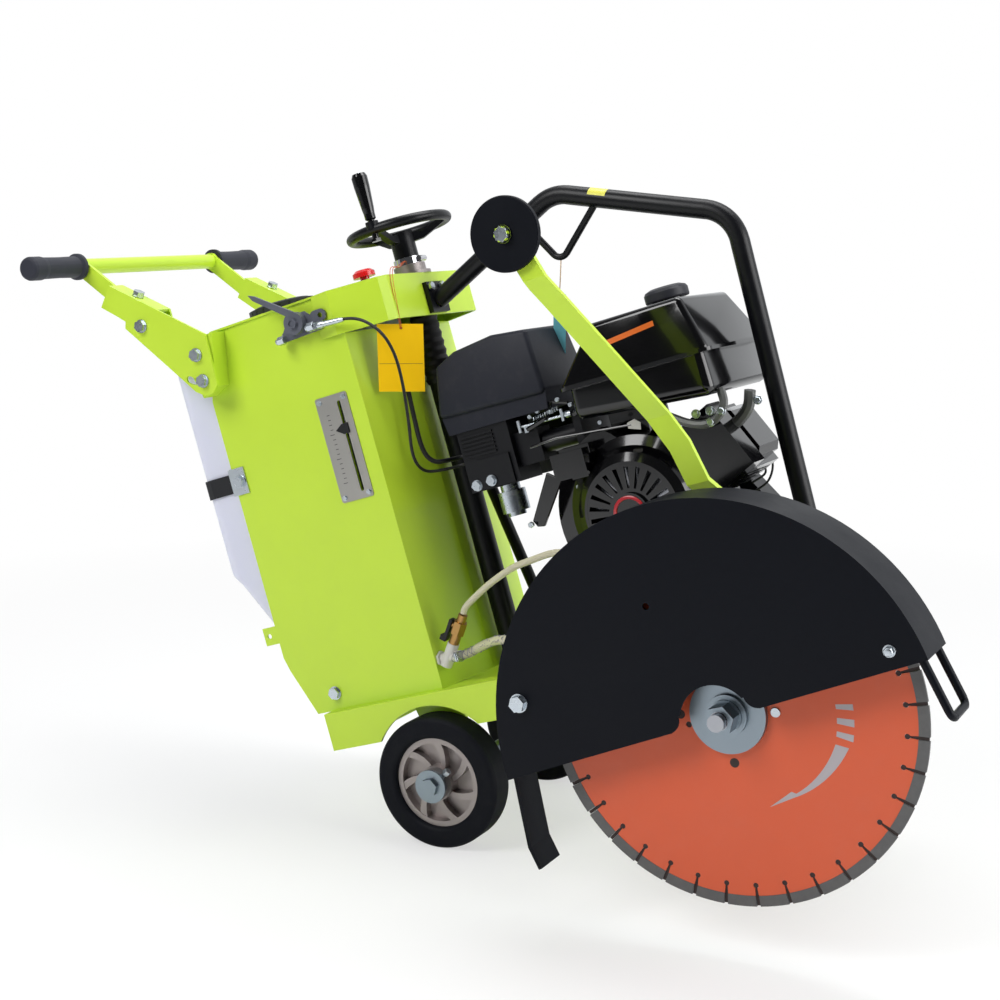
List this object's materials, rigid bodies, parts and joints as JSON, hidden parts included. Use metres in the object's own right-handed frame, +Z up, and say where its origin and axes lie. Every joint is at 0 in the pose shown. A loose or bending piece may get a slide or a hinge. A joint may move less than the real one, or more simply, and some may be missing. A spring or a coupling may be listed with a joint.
{
  "type": "walk-behind concrete saw",
  "caption": "Walk-behind floor saw: wheeled deck with a screw-lift, water tank tower, petrol engine and a belt-driven diamond blade under a tilting guard.",
  "frame": {"origin": "on the floor, under the middle of the bounding box", "axes": "+X forward along the cut, +Y to the left of the walking operator, +Z up; the blade is on the right (-Y) side"},
  "size_m": [1.4773, 0.7088, 0.9974],
  "materials": {
    "lime_paint": "satin powder coat",
    "black_paint": "semi-gloss powder coat",
    "black_gloss": "gloss enamel",
    "engine_plastic": "fine texture",
    "tank_plastic": "translucent, satin",
    "black_plastic": "satin",
    "grip_rubber": "matt",
    "tyre_rubber": "matt",
    "bellows_rubber": "matt",
    "cast_alloy": "as cast",
    "zinc_plate": "bluish zinc plate",
    "stainless": "brushed",
    "turned_steel": "turned",
    "chrome_plate": "bright",
    "blade_paint": "satin orange-red",
    "segment_grit": "rough sintered",
    "brass": "satin",
    "white_plastic": "satin",
    "clear_hose": "translucent",
    "red_plastic": "gloss",
    "belt_rubber": "matt",
    "strap_web": "woven"
  },
  "bodies": {
    "chassis": {"deck_frame": "lime_paint", "tower_shell": "lime_paint", "tower_head": "lime_paint", "gauge_plate": "stainless", "water_tank": "tank_plastic", "tank_strap": "strap_web", "handle_brackets": "lime_paint", "axle_shafts": "zinc_plate", "screw_bellows": "bellows_rubber", "screw_housing": "cast_alloy", "lifting_frame": "black_paint", "crankcase": "black_gloss", "cylinder_head": "black_gloss", "recoil_housing": "black_gloss", "air_cleaner": "engine_plastic", "carburettor": "engine_plastic", "carb_metalwork": "zinc_plate", "fuel_tank": "black_gloss", "muffler": "engine_plastic", "v_belts": "belt_rubber", "belt_guard": "black_paint", "arbor_bearings": "black_paint", "guard_support": "black_paint", "water_valve": "brass", "water_tee": "white_plastic", "spray_hose": "clear_hose", "feed_hose": "clear_hose", "throttle_bracket": "engine_plastic", "control_cables": "bellows_rubber", "zinc_fasteners": "zinc_plate"},
    "handle": {"handlebar": "lime_paint", "handle_sleeves": "lime_paint", "handle_grips": "grip_rubber", "handle_bolts": "zinc_plate"},
    "rear_wheel_right": {"rear_tyre_right": "tyre_rubber", "rear_rim_right": "cast_alloy"},
    "rear_wheel_left": {"rear_tyre_left": "tyre_rubber", "rear_rim_left": "cast_alloy"},
    "lift_arm": {"lift_arm": "black_paint"},
    "front_wheel_right": {"front_wheel_right": "tyre_rubber"},
    "front_wheel_left": {"front_wheel_left": "tyre_rubber"},
    "lift_tube": {"lift_tube": "black_paint"},
    "handwheel": {"handwheel": "black_paint", "lift_screw": "chrome_plate"},
    "crank_knob": {"crank_knob": "black_plastic"},
    "depth_pointer": {"depth_pointer": "black_plastic"},
    "blade_spindle": {"arbor_drive": "turned_steel", "blade_core": "blade_paint", "blade_segments": "segment_grit", "blade_flanges": "zinc_plate"},
    "engine_crank": {"crank_drive": "turned_steel"},
    "blade_guard": {"guard_shell": "black_paint", "mud_flap": "tyre_rubber"},
    "guide_arm": {"guide_arm": "lime_paint"},
    "guide_wheel": {"guide_wheel": "black_plastic"},
    "throttle_lever": {"throttle_lever": "engine_plastic"},
    "stop_button": {"stop_button": "red_plastic"},
    "valve_lever": {"valve_lever": "black_plastic"},
    "tank_cap": {"tank_cap": "black_plastic"},
    "fuel_cap": {"fuel_cap": "black_plastic"}
  },
  "joints": [
    {"name": "handle_tilt", "type": "hinge", "parent": "chassis", "child": "handle", "pos_m": [-0.4748, 0.05943, 0.72273], "axis": [0, -1, 0], "range_deg": [0, 38]},
    {"name": "rear_wheel_right_spin", "type": "hinge", "parent": "chassis", "child": "rear_wheel_right", "pos_m": [-0.06273, -0.11557, 0.1], "axis": [0, 1, 0], "continuous": true},
    {"name": "rear_wheel_left_spin", "type": "hinge", "parent": "chassis", "child": "rear_wheel_left", "pos_m": [-0.06273, 0.23443, 0.1], "axis": [0, 1, 0], "continuous": true},
    {"name": "lift_arm_swing", "type": "hinge", "parent": "chassis", "child": "lift_arm", "pos_m": [0.10727, 0.05943, 0.1938], "axis": [0, -1, 0], "range_deg": [0, 45]},
    {"name": "front_wheel_right_spin", "type": "hinge", "parent": "lift_arm", "child": "front_wheel_right", "pos_m": [0.33727, -0.02857, 0.075], "axis": [0, 1, 0], "continuous": true},
    {"name": "front_wheel_left_spin", "type": "hinge", "parent": "lift_arm", "child": "front_wheel_left", "pos_m": [0.33727, 0.14743, 0.075], "axis": [0, 1, 0], "continuous": true},
    {"name": "lift_tube_travel", "type": "slide", "parent": "chassis", "child": "lift_tube", "axis": [0.2924, 0, -0.9563], "range_m": [0, 0.08918]},
    {"name": "handwheel_turn", "type": "hinge", "parent": "chassis", "child": "handwheel", "pos_m": [-0.22204, 0.05943, 0.88785], "axis": [-0.2924, 0, 0.9563], "range_deg": [0, 2683.5]},
    {"name": "crank_knob_spin", "type": "hinge", "parent": "handwheel", "child": "crank_knob", "pos_m": [-0.23958, -0.01657, 0.94523], "axis": [-0.2924, 0, 0.9563], "continuous": true},
    {"name": "depth_pointer_travel", "type": "slide", "parent": "chassis", "child": "depth_pointer", "axis": [0.2924, 0, -0.9563], "range_m": [0, 0.08918]},
    {"name": "blade_spin", "type": "hinge", "parent": "chassis", "child": "blade_spindle", "pos_m": [0.45106, -0.30057, 0.31773], "axis": [0, 1, 0], "continuous": true},
    {"name": "engine_turn", "type": "hinge", "parent": "chassis", "child": "engine_crank", "pos_m": [0.22461, 0.05943, 0.52143], "axis": [0, 1, 0], "continuous": true},
    {"name": "guard_lift", "type": "hinge", "parent": "chassis", "child": "blade_guard", "pos_m": [0.17887, -0.30057, 0.30718], "axis": [0, -1, 0], "range_deg": [0, 24]},
    {"name": "guide_arm_swing", "type": "hinge", "parent": "chassis", "child": "guide_arm", "pos_m": [0.48609, -0.19657, 0.37759], "axis": [0, 1, 0], "range_deg": [0, 125]},
    {"name": "guide_wheel_spin", "type": "hinge", "parent": "guide_arm", "child": "guide_wheel", "pos_m": [0.13877, -0.30057, 0.90823], "axis": [0, 1, 0], "continuous": true},
    {"name": "throttle_swing", "type": "hinge", "parent": "chassis", "child": "throttle_lever", "pos_m": [-0.30745, -0.11957, 0.7739], "axis": [0, 1, 0], "range_deg": [0, 70]},
    {"name": "stop_button_press", "type": "slide", "parent": "chassis", "child": "stop_button", "axis": [0.2924, 0, -0.9563], "range_m": [0, 0.0045], "stiffness_N_per_m": 800, "springref_m": -0.001},
    {"name": "valve_turn", "type": "hinge", "parent": "chassis", "child": "valve_lever", "pos_m": [-0.06164, -0.08932, 0.33285], "axis": [-0.9397, 0, 0.342], "range_deg": [0, 90]},
    {"name": "tank_cap_turn", "type": "hinge", "parent": "chassis", "child": "tank_cap", "pos_m": [-0.42838, 0.03143, 0.78294], "axis": [-0.2924, 0, 0.9563], "range_deg": [0, 120]},
    {"name": "fuel_cap_turn", "type": "hinge", "parent": "chassis", "child": "fuel_cap", "pos_m": [0.23522, 0.01443, 0.81851], "axis": [-0.2924, 0, 0.9563], "range_deg": [0, 90]}
  ],
  "couplings": [
    {"joint": "lift_tube_travel", "follows": "lift_arm_swing", "m_per_rad": 0.11304},
    {"joint": "depth_pointer_travel", "follows": "lift_arm_swing", "m_per_rad": 0.11304},
    {"joint": "handwheel_turn", "follows": "lift_arm_swing", "ratio": 59.188},
    {"joint": "engine_turn", "follows": "blade_spin", "ratio": 0.88462}
  ]
}
